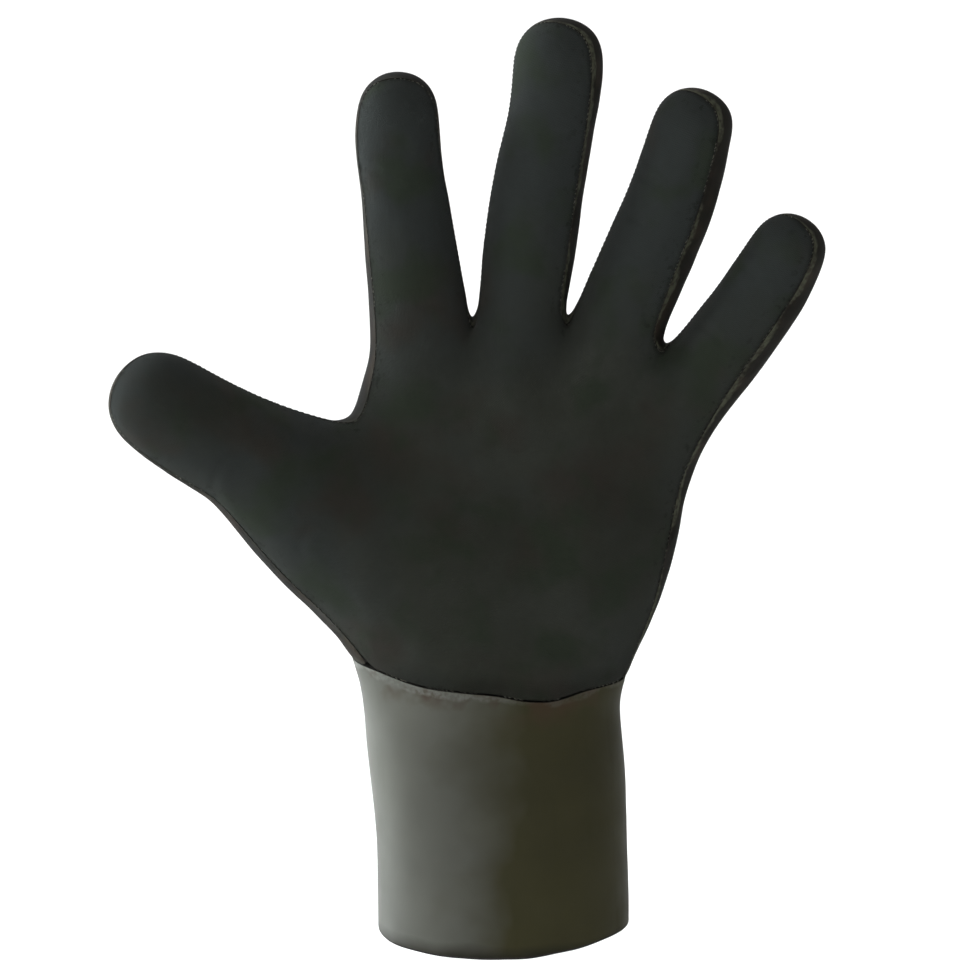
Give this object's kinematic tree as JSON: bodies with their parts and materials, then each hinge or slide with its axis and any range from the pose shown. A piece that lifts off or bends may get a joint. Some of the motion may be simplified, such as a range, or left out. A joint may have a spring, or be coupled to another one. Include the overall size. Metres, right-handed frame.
{
  "type": "neoprene diving glove",
  "caption": "Left diving glove of glued foam sheet with a cloth-faced palm and fingers and a smooth straight cuff.",
  "frame": {"origin": "middle of the cuff's mouth, in the plane of its rim", "axes": "+Z from the cuff towards the fingertips, +Y towards the back of the hand, -Y towards the palm side, -X towards the thumb"},
  "size_m": [0.1991, 0.0604, 0.2632],
  "materials": {
    "cloth_face": "matt black knit nylon face on foam rubber",
    "smooth_skin": "satin smooth-skin foam rubber",
    "cuff_skin": "satin smooth-skin foam rubber, dark grey"
  },
  "bodies": {
    "root": {"palm_panel": "cloth_face", "back_panel": "smooth_skin", "cuff": "cuff_skin"}
  },
  "joints": []
}
